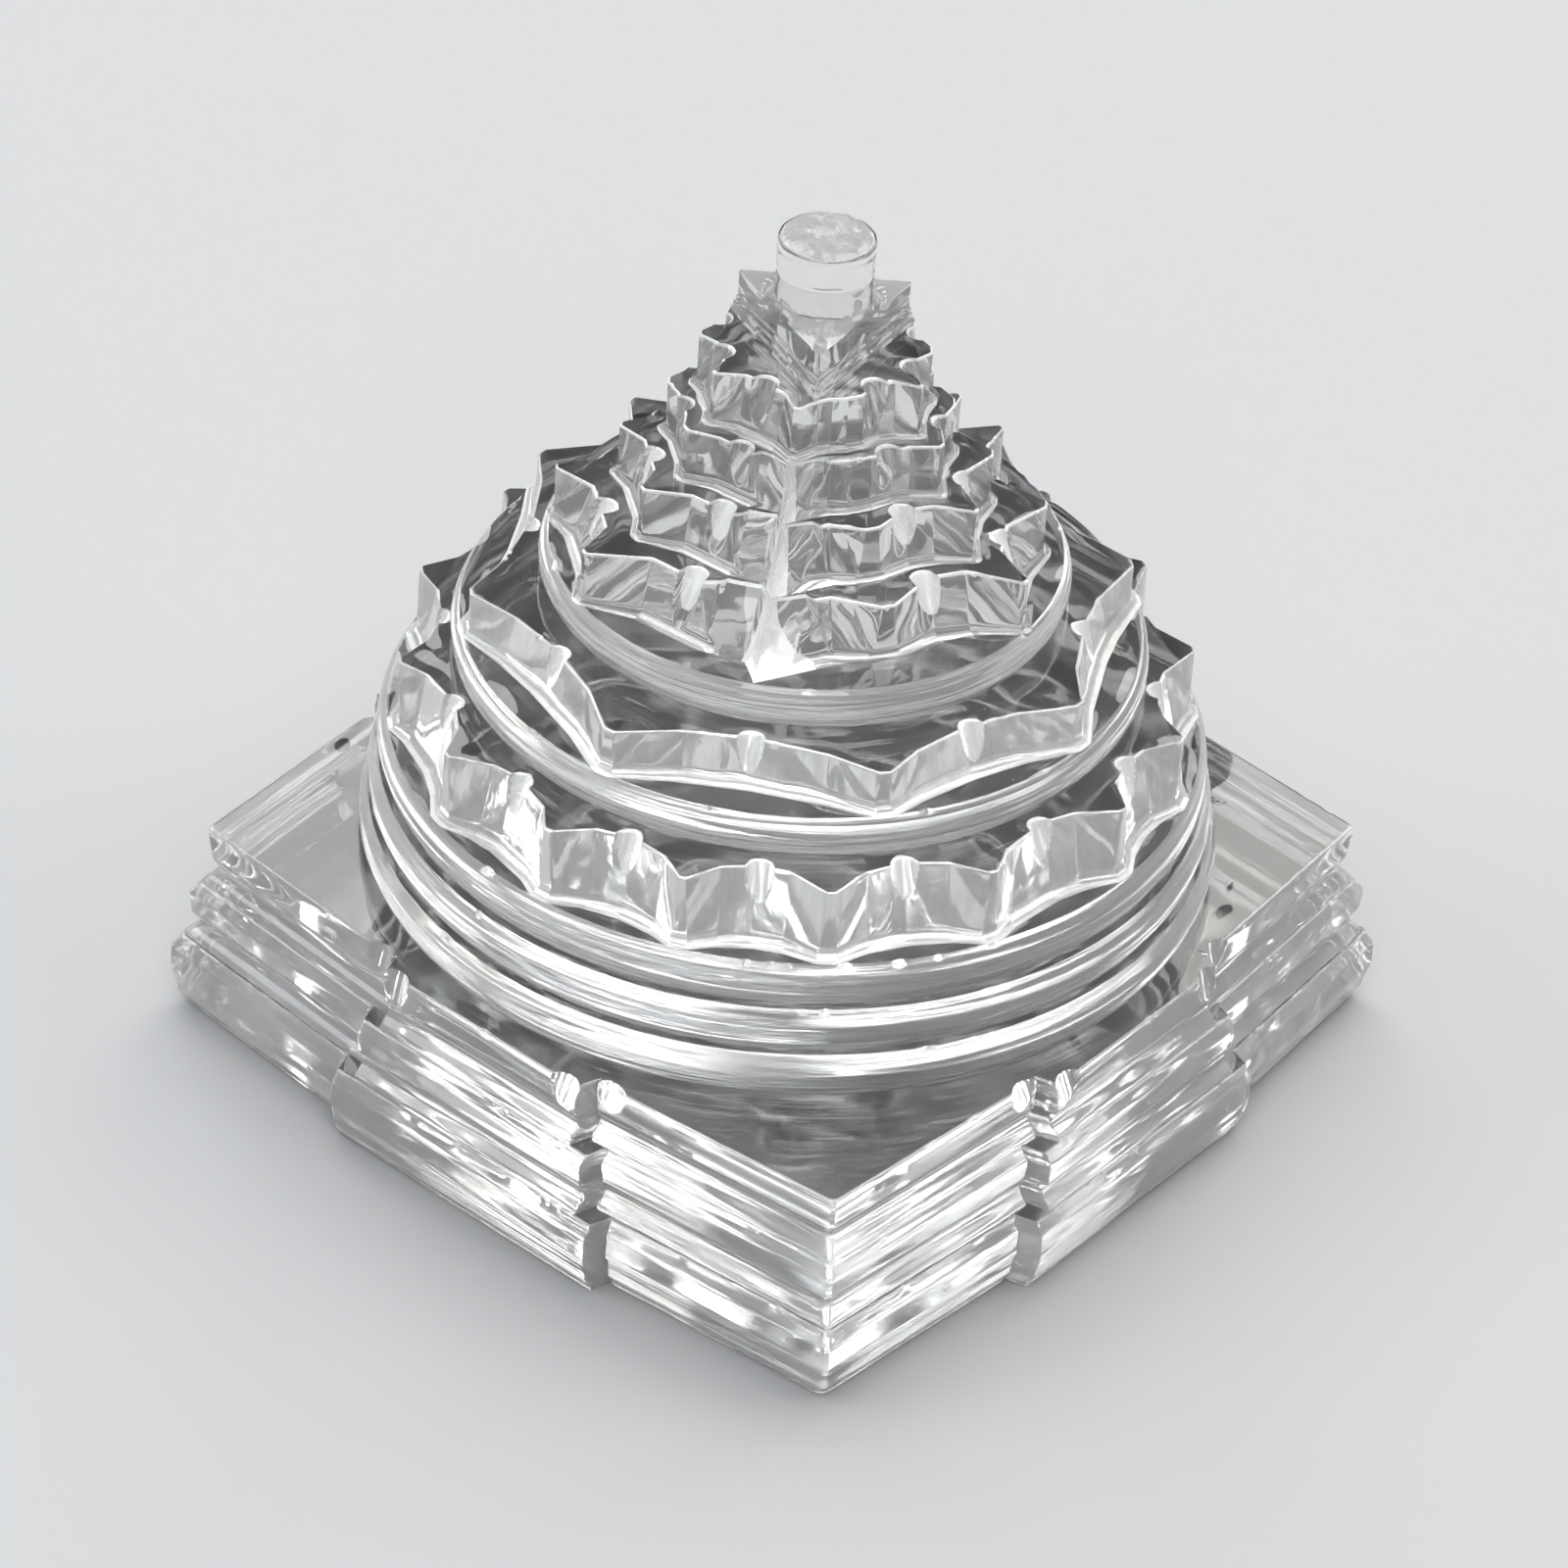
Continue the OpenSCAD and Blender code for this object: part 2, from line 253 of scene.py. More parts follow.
def relief(x, y, z, lengths, seed, count=9):
    """Smooth random relief of about plus and minus one, with its own length of wave along each axis."""
    draw = np.random.default_rng(seed)
    total = np.zeros(np.broadcast(x, y, z).shape)
    for _ in range(count):
        way = draw.normal(size=3)
        way /= np.linalg.norm(way)
        phase = draw.uniform(0, TURN)
        waves = x * way[0] / lengths[0] + y * way[1] / lengths[1] + z * way[2] / lengths[2]
        total += np.sin(TURN * waves + phase)
    return total / math.sqrt(count)


def moulding(knots, share):
    """Smooth curve through knots of (share, value)."""
    shares, values = zip(*knots)
    i = min(max(int(np.searchsorted(shares, share, side="right")) - 1, 0), len(shares) - 2)
    s = (share - shares[i]) / (shares[i + 1] - shares[i])
    return values[i] + (values[i + 1] - values[i]) * s * s * (3 - 2 * s)


def line(angle, start, end):
    """Distance from the axis to the straight line between two points given as (direction, distance)."""
    a0, r0 = start
    a1, r1 = end
    return r0 * r1 * math.sin(a1 - a0) / (r0 * np.sin(angle - a0) + r1 * np.sin(a1 - angle))


def cut_round(radius, direction, distance, cutter):
    """Cuts an upright round cutter, centred at a direction and a distance, out of an outline."""
    along = distance * np.cos(ANGLE - direction)
    inside = along * along - (distance * distance - cutter * cutter)
    near = along - np.sqrt(np.maximum(inside, 0))
    return np.where((inside > 0) & (along > 0), np.minimum(radius, near), radius)


def polar(point):
    """Direction and distance of a point."""
    return math.atan2(point[1], point[0]), np.linalg.norm(point)


def cut_facets(radius, bottom, outward, arc, half_width, seams):
    """Cuts a round hollow that is made of a few flat wheel cuts out of an outline."""
    along = np.array([-outward[1], outward[0]])
    widest = math.asin(half_width / arc)
    points = []
    for seam in seams:
        aside, rise = arc * math.sin(seam * widest), arc * (1 - math.cos(seam * widest))
        points.append(polar(bottom + aside * along + rise * outward))
    for (start, near), (end, far) in zip(points, points[1:]):
        off = (ANGLE - start + math.pi) % TURN - math.pi
        span = (end - start + math.pi) % TURN - math.pi
        within = (off >= 0) & (off <= span)
        radius = np.where(within, np.minimum(radius, line(off, (0, near), (span, far))), radius)
    return radius


def notch_out(below_top):
    """How far outside a wall the leaning cutter of a notch has its middle, at a distance below the top."""
    return NOTCH_R - NOTCH_DEPTH + below_top * math.tan(NOTCH_LEAN)


def rounding(away, size):
    """How far a quarter round of a size stands off at a distance from its edge."""
    part = max(0.0, 1 - away / size)
    return size * (1 - math.sqrt(1 - part * part))


def course_side(node):
    """Side of one course of the square base, with its gates, grooves and mouldings."""
    low, high = levels_of(node)
    gate = reach_of(node)
    half = gate - GATE_OUT
    side = np.abs((ANGLE + math.pi / 4) % (math.pi / 2) - math.pi / 4)
    block_reach = half * (math.cos(SIDE_SPLAY) + math.sin(SIDE_SPLAY))

    def at(z):
        drawn = moulding(COURSE_PROFILES[node], (z - low) / (high - low)) + rounding(high - z, COURSE_EDGE)
        edge, floor, far = groove_points(node, drawn)
        radius = np.where(side < edge[0], (gate - drawn) / np.cos(side), 0)
        radius = np.where((side >= edge[0]) & (side < floor[0]), line(side, edge, floor), radius)
        radius = np.where((side >= floor[0]) & (side < far[0]), line(side, floor, far), radius)
        block = (block_reach - drawn) / np.cos(side - SIDE_SPLAY)
        block = np.minimum(block, (half - drawn) * math.sqrt(2) - CORNER_BLUNT)
        radius = np.where(side >= far[0], block, radius)
        if node == "bhupura_upper_course":
            radius = thumb_scoops(radius, gate, half, high - z)
        return radius

    return at


def thumb_scoops(radius, gate, half, below_top):
    """Two leaning scoops at each end of the upper gates: one in the gate, one in the block beside it."""
    gate_half = GATE_HALVES["bhupura_upper_course"]
    face = half + (half - gate_half) * math.tan(SIDE_SPLAY)
    run = below_top * math.tan(SCOOP_LEAN)
    for quarter in range(4):
        for end in (-1, 1):
            for x, y in ((gate, gate_half - SCOOP_IN), (face, gate_half + SCOOP_OUT)):
                x_mid = x - SCOOP_DEPTH + SCOOP_R + run
                direction = quarter * math.pi / 2 + end * math.atan2(y, x_mid)
                radius = cut_round(radius, direction, math.hypot(x_mid, y), SCOOP_R)
    return radius


def ring_side(node, bulge):
    """Side of a round tier that bulges between its edges."""
    low, high = levels_of(node)
    reach = reach_of(node)

    def at(z):
        share = (z - low) / (high - low)
        radius = reach - bulge * (2 * share - 1) ** 2
        if node in LATHE_LINES:
            radius -= LATHE_LINE_DEPTH * math.exp(-((share - LATHE_LINES[node]) / LATHE_LINE_WIDTH) ** 2)
        return np.full_like(ANGLE, radius)

    return at


def lotus_reach(node):
    """How far the cusps of a lotus reach."""
    return reach_of(node) / math.cos(LOTUSES[node][-1])


def petals_of(node):
    """Petals of a lotus as (direction of the middle, half of its width, distance of its chord)."""
    cusps = cusps_of(node)
    reach = lotus_reach(node)
    petals = []
    for start, end in zip(cusps, cusps[1:] + [cusps[0] + TURN]):
        half = (end - start) / 2
        petals.append((start + half, reach * math.sin(half), reach * math.cos(half)))
    return petals


def petal_side(node):
    """Side of a lotus: a hollow and a small notch for each petal, blunt cusps between them."""
    low, high = levels_of(node)
    count, foot_hollow, top_hollow, _ = LOTUSES[node]
    reach = lotus_reach(node)
    petals = petals_of(node)
    shape = (count, len(PETAL_SEAMS))
    drift = np.random.default_rng(count).uniform(-PETAL_SEAM_DRIFT, PETAL_SEAM_DRIFT, shape)

    def at(z):
        drawn = rounding(high - z, PETAL_EDGE)
        hollow = foot_hollow + (top_hollow - foot_hollow) * (z - low) / (high - low)
        radius = np.full_like(ANGLE, reach - PETAL_BLUNT)
        for (middle, half_width, chord), aside in zip(petals, drift):
            arc = (half_width ** 2 + hollow ** 2) / (2 * hollow)
            seams = [-PETAL_SEAM_END, *(np.array(PETAL_SEAMS) + aside), PETAL_SEAM_END]
            outward = np.array([math.cos(middle), math.sin(middle)])
            bottom = (chord - hollow) * outward
            radius = cut_facets(radius, bottom, outward, arc, PETAL_SEAM_WIDTH * half_width, seams)
            radius = cut_round(radius, middle, chord - hollow + notch_out(high - z), NOTCH_R)
        return radius - drawn + rounding(z - low, PETAL_FOOT)

    return at


def star_faces(node):
    """Faces of a star as (middle of the chord, way outward, half width, scoop, place of the notch)."""
    reach = STAR_REACHES[node]
    points = [part * reach * np.array([math.cos(math.radians(a)), math.sin(math.radians(a))])
              for a, part in STAR_CORNERS]
    faces = []
    for i, (start, end) in enumerate(zip(points, points[1:] + points[:1])):
        length = np.linalg.norm(end - start)
        outward = np.array([end[1] - start[1], start[0] - end[0]]) / length
        chord = (start + end) / 2
        scoop = 0.0 if node == "star_tier_4" and i in TRIANGLE_FACES else STAR_SCOOPS[node]
        place = chord + NOTCH_SHIFTS.get(i, 0.0) * (end - start)
        faces.append((chord, outward, length / 2, scoop, None if i == RIDGE_FACE else place))
    return faces


def star_hollow(half_width, scoop, share):
    """Depth of the hollow in a star's face at a share of the height."""
    return STAR_HOLLOW * 2 * half_width + scoop * share


def star_side(node, next_foot):
    """Side of a star tier with hollow faces, notches, and a sloping ridge at the front."""
    low, high = levels_of(node)
    reach = STAR_REACHES[node]
    corners = [(math.radians(a), part * reach) for a, part in STAR_CORNERS]
    faces = star_faces(node)
    shape = (len(faces), len(STAR_SEAMS))
    drift = np.random.default_rng(len(faces)).uniform(-STAR_SEAM_DRIFT, STAR_SEAM_DRIFT, shape)

    def at(z):
        radius = np.full_like(ANGLE, STAR_BLANK * reach)
        for (chord, outward, half_width, scoop, place), aside in zip(faces, drift):
            hollow = star_hollow(half_width, scoop, (z - low) / (high - low))
            arc = (half_width ** 2 + hollow ** 2) / (2 * hollow)
            seams = [-STAR_SEAM_END, *(np.array(STAR_SEAMS) + aside), STAR_SEAM_END]
            radius = cut_facets(radius, chord - outward * hollow, outward, arc, half_width, seams)
            if place is not None:
                radius = cut_round(radius, *polar(place + outward * (notch_out(high - z) - hollow)), NOTCH_R)
        for angle, distance in corners:
            near = np.abs((ANGLE - angle + math.pi) % TURN - math.pi) < STAR_BLUNT_SPAN
            radius = np.where(near, np.minimum(radius, distance - STAR_BLUNT), radius)
        radius = radius - rounding(high - z, STAR_EDGE) + rounding(z - low, STAR_FOOT)
        if next_foot is not None:
            radius = front_ridge(radius, reach, next_foot, (z - low) / (high - low), RIDGE_FLARE[node])
        return radius

    return at


def soft_least(first, second):
    """Smaller one of two outlines, with a soft crease where they cross."""
    near = np.maximum(CREASE - np.abs(first - second), 0)
    return np.minimum(first, second) - near ** 2 / (4 * CREASE)


def soft_most(first, second):
    """Larger one of two outlines, with a soft crease where they cross."""
    return -soft_least(-first, -second)


def front_ridge(radius, reach, next_foot, share, flare):
    """Sharp ridge from a star's front corner up to the next star's corner, with a valley on each side."""
    off = np.degrees((ANGLE - FRONT + math.pi) % TURN - math.pi)
    aside = np.abs(off)
    next_corner = next_foot[np.argmin(aside)]
    valley_top = next_foot + VALLEY_CLEAR + VALLEY_SLOPE * aside
    valley = VALLEY_REACH * reach * (1 - share) + valley_top * share
    valley = valley + VALLEY_RISE * np.maximum(aside - VALLEY_SPAN, 0)
    spread = RIDGE_SPREAD + np.where(off < 0, RIDGE_SPREAD_LEFT, RIDGE_SPREAD_RIGHT) * (1 - share) ** 2
    ridge = ridge_outline(reach + (next_corner - reach) * share ** flare, spread, aside)
    shoulder_reach = reach * (SHOULDER_REACH - SHOULDER_DRAW * share)
    shoulder_aside = np.abs(off - SHOULDER_ASIDE + SHOULDER_NEARER * share)
    shoulder = soft_least(ridge_outline(shoulder_reach, SHOULDER_SPREAD, shoulder_aside), radius)
    cut = soft_most(soft_least(radius, valley), soft_most(ridge, shoulder))
    return np.where(aside < RIDGE_SPAN, cut, radius)


def ridge_outline(reach, spread, aside):
    """Outline of a ridge whose flanks spread by an angle from its crest, at angles aside from the crest."""
    spread, aside = np.radians(spread), np.radians(np.minimum(aside, RIDGE_FARTHEST))
    return reach * np.sin(spread) / np.sin(spread + aside)


def triangle_side(node):
    """Side of the triangle, with stepped mouldings at its foot."""
    low, _ = levels_of(node)
    apothem = TRIANGLE_REACH / 2
    off = np.abs((ANGLE - TRIANGLE_TURN + math.pi / 3) % (TURN / 3) - math.pi / 3)

    def at(z):
        share = (z - low) / TRIANGLE_WALL
        out = moulding(TRIANGLE_FOOT, share)
        corner = TRIANGLE_REACH + 2 * out - TRIANGLE_BLUNT
        return np.minimum((apothem + out) / np.cos(math.pi / 3 - off), corner)

    return at


def bindu_side(node):
    """Side of the round post, slightly faceted, with a faint line round its middle."""
    low, high = levels_of(node)
    reach = reach_of(node)
    facet = (ANGLE % (TURN / BINDU_FACETS)) - math.pi / BINDU_FACETS

    def at(z):
        faceted = reach * math.cos(math.pi / BINDU_FACETS) / np.cos(facet)
        radius = (1 - BINDU_FACETED) * reach + BINDU_FACETED * faceted
        share = (z - low) / (high - low)
        line_share = (share - BINDU_LINE) / BINDU_LINE_WIDTH
        radius = radius - BINDU_LINE_DEPTH * math.exp(-line_share ** 2)
        return radius - rounding(high - z, BINDU_EDGE)

    return at


def ring_of(radius, z):
    """Points of one level of a tier."""
    return np.stack([radius * COS, radius * SIN, np.broadcast_to(z, radius.shape)], axis=1)


# Places of a tier's finishes in its list of materials
OUTSIDE, JOINT, LEDGE, GROUND = 0, 1, 2, 3


def notch_places(node):
    """Direction and distance of the wall at each notch that was left ground."""
    if node in GROUND_STARS:
        return [polar(place - outward * star_hollow(half_width, scoop, 1))
                for _, outward, half_width, scoop, place in star_faces(node) if place is not None]
    if node not in LOTUSES:
        return []
    _, _, hollow, _ = LOTUSES[node]
    return [(middle, chord - hollow) for middle, _, chord in petals_of(node)]


def side_finish(node, z):
    """Finish of a tier's side at a level: ground in the notches, on the front ridge and along star edges."""
    low, high = levels_of(node)
    ground = np.zeros(len(ANGLE), bool)
    depth = NOTCH_DEPTH - (high - z) * math.tan(NOTCH_LEAN)
    if depth > 0:
        half_width = math.sqrt(depth * (2 * NOTCH_R - depth))
        for direction, distance in notch_places(node):
            off = np.abs((ANGLE - direction + math.pi) % TURN - math.pi)
            ground |= off * distance < half_width
    if node in STAR_REACHES and high - z < GROUND_EDGE:
        ground[:] = True
    if node in RIDGE_FLARE:
        below = 1 - (z - low) / (high - low)
        flare = below ** 2 if node == "star_tier_1" else STRIP_ABOVE * below
        off = np.degrees((ANGLE - FRONT + math.pi) % TURN - math.pi)
        ground |= (off > -STRIP_HALF - STRIP_LEFT * flare) & (off < STRIP_HALF + STRIP_RIGHT * flare)
    return np.where(ground, GROUND, OUTSIDE)


def solid(name, rings, finishes, materials):
    """Closed mesh through rings of points, from the middle of the underside to the middle of the top."""
    count = len(ANGLE)
    first = rings[0].mean(axis=0) * [0, 0, 1]
    last = rings[-1].mean(axis=0) * [0, 0, 1]
    points = np.concatenate([first[None], *rings, last[None]]) * MM
    around = np.arange(count)
    after = (around + 1) % count
    faces, slots = [], []
    faces.append(np.stack([np.zeros(count, int), 1 + after, 1 + around], axis=1))
    slots.append(np.full(count, finishes[0]))
    quads, quad_slots = [], []
    for i in range(len(rings) - 1):
        here, there = 1 + i * count, 1 + (i + 1) * count
        quads.append(np.stack([here + around, here + after, there + after, there + around], axis=1))
        quad_slots.append(np.broadcast_to(finishes[i + 1], count))
    end = 1 + (len(rings) - 1) * count
    faces.append(np.stack([end + around, end + after, np.full(count, len(points) - 1)], axis=1))
    slots.append(np.full(count, finishes[-1]))
    mesh = bpy.data.meshes.new(name)
    fill_mesh(mesh, points, np.concatenate(faces), np.concatenate(quads))
    for material in materials:
        mesh.materials.append(material)
    mesh.polygons.foreach_set("material_index", np.concatenate(slots + quad_slots).astype(np.int32))
    mesh.polygons.foreach_set("use_smooth", np.ones(len(mesh.polygons), bool))
    mesh.update()
    mesh.set_sharp_from_angle(angle=SHARP_ANGLE)
    mesh.validate()
    piece = bpy.data.objects.new(name, mesh)
    bpy.context.scene.collection.objects.link(piece)
    return piece


def fill_mesh(mesh, points, triangles, quads):
    """Writes points, triangles and quads into an empty mesh."""
    loops = np.concatenate([triangles.ravel(), quads.ravel()]).astype(np.int32)
    sizes = np.concatenate([np.full(len(triangles), 3), np.full(len(quads), 4)]).astype(np.int32)
    starts = np.concatenate([[0], np.cumsum(sizes)[:-1]]).astype(np.int32)
    mesh.vertices.add(len(points))
    mesh.vertices.foreach_set("co", points.astype(np.float32).ravel())
    mesh.loops.add(len(loops))
    mesh.loops.foreach_set("vertex_index", loops)
    mesh.polygons.add(len(sizes))
    mesh.polygons.foreach_set("loop_start", starts)
    mesh.update(calc_edges=True)


def level_shares():
    """Shares of the height, closer together towards both edges."""
    even = np.linspace(0, 1, LEVELS)
    eased = 0.5 - 0.5 * np.cos(math.pi * even)
    return (1 - LEVEL_EASE) * even + LEVEL_EASE * eased


# Wheel marks of each kind of tier as (lengths of wave, depth)
LATHE_MARKS = [((18, 18, 0.9), 0.028), ((30, 30, 0.5), 0.028), ((9, 9, 0.4), 0.008)]
PETAL_MARKS = [((1.5, 1.5, 40), 0.026), ((4, 4, 6), 0.012)]
STAR_MARKS = [((1.6, 1.6, 2.2), 0.012), ((0.8, 0.8, 3), 0.004)]
COURSE_MARKS = [((18, 18, 1.2), 0.004), ((9, 9, 3.5), 0.012)]
TOP_MARKS = [((1.7, 1.7, 1.7), 0.004), ((4, 4, 4), 0.012)]
# Seeds of the marks: from one tier to the next, and from a tier's side to its top
TIER_SEED = 100
TOP_SEED = 50
# Rings of points as shares of the way: in the underside, on the ledge, and in the face under the next tier
UNDERSIDE_SHARES = (0.4, 0.8)
LEDGE_SHARES = (0.03, 0.1, 0.2, 0.32, 0.45, 0.6, 0.75, 0.9)
JOINT_SHARES = (1, 0.75, 0.35)
# Least width of a ledge
LEDGE_LEAST = 0.03
# Chips on an upper edge: how many for each millimetre of reach, ranges of width and depth, and height
CHIPS_PER_REACH = 1.1
CHIP_WIDTHS = (0.15, 0.5)
CHIP_DEPTHS = (0.03, 0.13)
CHIP_HEIGHT = 0.3


def chips(reach, seed):
    """Dents round an upper edge where small flakes have broken off, in millimetres."""
    draw = np.random.default_rng(seed)
    dent = np.zeros_like(ANGLE)
    for _ in range(int(CHIPS_PER_REACH * reach)):
        direction = draw.uniform(0, TURN)
        width = draw.uniform(*CHIP_WIDTHS)
        depth = draw.uniform(*CHIP_DEPTHS)
        off = np.abs((ANGLE - direction + math.pi) % TURN - math.pi) * reach
        dent = np.maximum(dent, depth * np.maximum(0, 1 - (off / width) ** 2))
    return dent


def flat(radius):
    """Ledge without a rise."""
    return np.zeros_like(radius)


def collar(radius):
    """Sloping collar round the bindu, above the triangle's wall."""
    return COLLAR_H * np.clip((BINDU_R + COLLAR_W - radius) / COLLAR_W, 0, 1)


def bindu_top(x, y, share):
    """Rise of the uneven, slightly domed top face of the bindu, at a share of the way from its middle."""
    waves = relief(x, y, 0, (BINDU_WAVE,) * 3, BINDU_SEED)
    return BINDU_DOME * (1 - share ** 2) + BINDU_WAVE_DEPTH * (1 - share ** 4) * waves


def tier(node, side, marks, next_outline, materials, seed):
    """One tier: its underside, its side with wheel marks, its ledge, and the face under the next tier."""
    low, high = levels_of(node)
    rise = collar if node == "trikona" else flat
    wall_high = low + TRIANGLE_WALL if node == "trikona" else high
    dent = chips(side(wall_high).max(), seed)
    top = side(wall_high) - dent
    lift = rise(top)
    underside = OUTSIDE if node == "bhupura_lower_course" else JOINT
    base = side(low)
    rings = [ring_of(base * share, low) for share in UNDERSIDE_SHARES]
    finishes = [underside] * (len(UNDERSIDE_SHARES) + 1)
    for share in level_shares():
        z = low + share * (wall_high - low)
        radius = side(z)
        x, y = radius * COS, radius * SIN
        window = math.sin(math.pi * share) ** 0.5 if 0 < share < 1 else 0.0
        for k, (lengths, depth) in enumerate(marks):
            radius = radius + window * depth * relief(x, y, z, lengths, seed + k)
        radius = radius - dent * max(0.0, 1 - (wall_high - z) / CHIP_HEIGHT)
        rings.append(ring_of(radius, z + share * lift))
    finishes += [side_finish(node, low + share * (wall_high - low)) for share in level_shares()[1:]]
    inner = top * 0 if next_outline is None else np.minimum(next_outline, top - LEDGE_LEAST)
    for share in LEDGE_SHARES:
        radius = top + (inner - top) * share
        x, y = radius * COS, radius * SIN
        z = wall_high + rise(radius)
        for k, (lengths, depth) in enumerate(TOP_MARKS):
            z = z + math.sin(math.pi * share) * depth * relief(x, y, 0, lengths, seed + TOP_SEED + k)
        if next_outline is None:
            z = z + bindu_top(x, y, 1 - share)
        rings.append(ring_of(radius, z))
        finishes.append(LEDGE)
    if next_outline is None:
        finishes.append(LEDGE)
    else:
        rings += [ring_of(inner * share, high) for share in JOINT_SHARES]
        finishes += [LEDGE] + [JOINT] * len(JOINT_SHARES)
    return dress(solid(node + "_crystal", rings, finishes, materials), node)


def dress(piece, node):
    """The piece stands for its CAD node and moves with it."""
    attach(piece, "root")
    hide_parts(node)
    return piece


# Refractive index of quartz
QUARTZ_IOR = 1.544
# Faint veils in the crystal: scale of the noise, and its tints at two levels
VEIL_SCALE = (180, 180, 260)
VEIL_TINTS = [(0.35, (0.985, 0.995, 1.0)), (0.7, (0.955, 0.95, 0.93))]
# Levels of the wheel marks' noise between which the tint and the roughness change
TINT_LEVELS = (0.42, 0.66)
ROUGHNESS_LEVELS = (0.45, 0.72)
# Finishes as (scale of the wheel marks, their depth, roughness where polished and where ground, share of the
# light that passes through, tint in the marks)
FINISHES = {
    "ledge": ((500, 500, 500), 0.002, 0.008, 0.05, 1.0, 1.0),
    "turned": ((60, 60, 3500), 0.02, 0.05, 0.28, 0.8, 0.85),
    "ground": ((1500, 1500, 300), 0.008, 0.12, 0.4, 0.5, 1.0),
    "frosted": ((900, 900, 900), 0.02, 0.08, 0.5, 0.8, 1.0),
    "petal": ((1800, 1800, 100), 0.012, 0.02, 0.22, 0.66, 0.88),
    "star": ((900, 900, 900), 0.004, 0.006, 0.08, 0.85, 1.0),
    "course": ((160, 160, 1600), 0.004, 0.03, 0.2, 0.78, 1.0),
    "bindu": ((700, 700, 700), 0.006, 0.01, 0.12, 1.0, 1.0),
}


def crystal_material(name, streak, streak_depth, polish, ground, clear, shade):
    """Clear crystal with faint veils, and wheel marks that run from polished to finely ground."""
    material = bpy.data.materials.new(name)
    material.use_nodes = True
    nodes, links = material.node_tree.nodes, material.node_tree.links
    shader = nodes["Principled BSDF"]
    shader.inputs["IOR"].default_value = QUARTZ_IOR
    shader.inputs["Transmission Weight"].default_value = clear
    place = nodes.new("ShaderNodeTexCoord")

    def noise(scale, detail, roughness):
        mapping = nodes.new("ShaderNodeMapping")
        mapping.inputs["Scale"].default_value = scale
        links.new(place.outputs["Object"], mapping.inputs["Vector"])
        texture = nodes.new("ShaderNodeTexNoise")
        texture.inputs["Scale"].default_value = 1.0
        texture.inputs["Detail"].default_value = detail
        texture.inputs["Roughness"].default_value = roughness
        links.new(mapping.outputs["Vector"], texture.inputs["Vector"])
        return texture.outputs["Fac"]

    def ramp(factor, stops):
        node = nodes.new("ShaderNodeValToRGB")
        elements = node.color_ramp.elements
        for element, (at, colour) in zip(elements, stops):
            element.position = at
            element.color = (*colour, 1)
        links.new(factor, node.inputs["Fac"])
        return node.outputs["Color"]

    def grey_ramp(factor, levels, values):
        return ramp(factor, [(level, (value,) * 3) for level, value in zip(levels, values)])

    veil = noise(VEIL_SCALE, detail=2, roughness=0.6)
    marks = noise(streak, detail=3, roughness=0.65)
    tint = nodes.new("ShaderNodeMixRGB")
    tint.blend_type = "MULTIPLY"
    tint.inputs["Fac"].default_value = 1.0
    links.new(ramp(veil, VEIL_TINTS), tint.inputs["Color1"])
    links.new(grey_ramp(marks, TINT_LEVELS, (1.0, shade)), tint.inputs["Color2"])
    links.new(tint.outputs["Color"], shader.inputs["Base Color"])
    links.new(grey_ramp(marks, ROUGHNESS_LEVELS, (polish, ground)), shader.inputs["Roughness"])
    bump = nodes.new("ShaderNodeBump")
    bump.inputs["Strength"].default_value = 1.0
    bump.inputs["Distance"].default_value = streak_depth * MM
    links.new(marks, bump.inputs["Height"])
    links.new(bump.outputs["Normal"], shader.inputs["Normal"])
    return material


def joint_material():
    """Face where two tiers meet: nothing shows there, as in one block of crystal."""
    material = bpy.data.materials.new("crystal_joint")
    material.use_nodes = True
    shader = material.node_tree.nodes["Principled BSDF"]
    shader.inputs["Alpha"].default_value = 0.0
    return material


def build():
    """All tiers, each with the outline that it carries."""
    joint = joint_material()
    looks = {name: crystal_material("crystal_" + name, *finish) for name, finish in FINISHES.items()}
    lathe = [looks["turned"], joint, looks["ledge"]]
    petal = [looks["petal"], joint, looks["ledge"], looks["ground"]]
    star = [looks["star"], joint, looks["ledge"], looks["ground"]]
    course = [looks["course"], joint, looks["ledge"]]
    crown = [looks["star"], joint, looks["turned"]]
    bead = [looks["bindu"], joint, looks["frosted"]]

    sides = {}
    for node in GATE_HALVES:
        sides[node] = (course_side(node), COURSE_MARKS, course)
    for node in ("outer_ring", "middle_ring", "inner_ring", "eight_petal_plinth", "star_disc"):
        sides[node] = (ring_side(node, RING_BULGE), LATHE_MARKS, lathe)
    for node in LOTUSES:
        sides[node] = (petal_side(node), PETAL_MARKS, petal)
    next_foot = None
    for node in reversed(STAR_REACHES):
        sides[node] = (star_side(node, next_foot), STAR_MARKS, star)
        next_foot = sides[node][0](levels_of(node)[0])
    sides["trikona"] = (triangle_side("trikona"), STAR_MARKS, crown)
    sides["bindu"] = (bindu_side("bindu"), STAR_MARKS, bead)

    order = [
        "bhupura_lower_course", "bhupura_middle_course", "bhupura_upper_course",
        "outer_ring", "middle_ring", "inner_ring", "sixteen_petal_lotus", "eight_petal_plinth",
        "eight_petal_lotus", "star_disc", "star_tier_1", "star_tier_2", "star_tier_3", "star_tier_4",
        "trikona", "bindu",
    ]
    for i, node in enumerate(order):
        side, marks, materials = sides[node]
        above = order[i + 1] if i + 1 < len(order) else None
        carried = sides[above][0](levels_of(above)[0]) if above else None
        tier(node, side, marks, carried, materials, TIER_SEED * (i + 1))


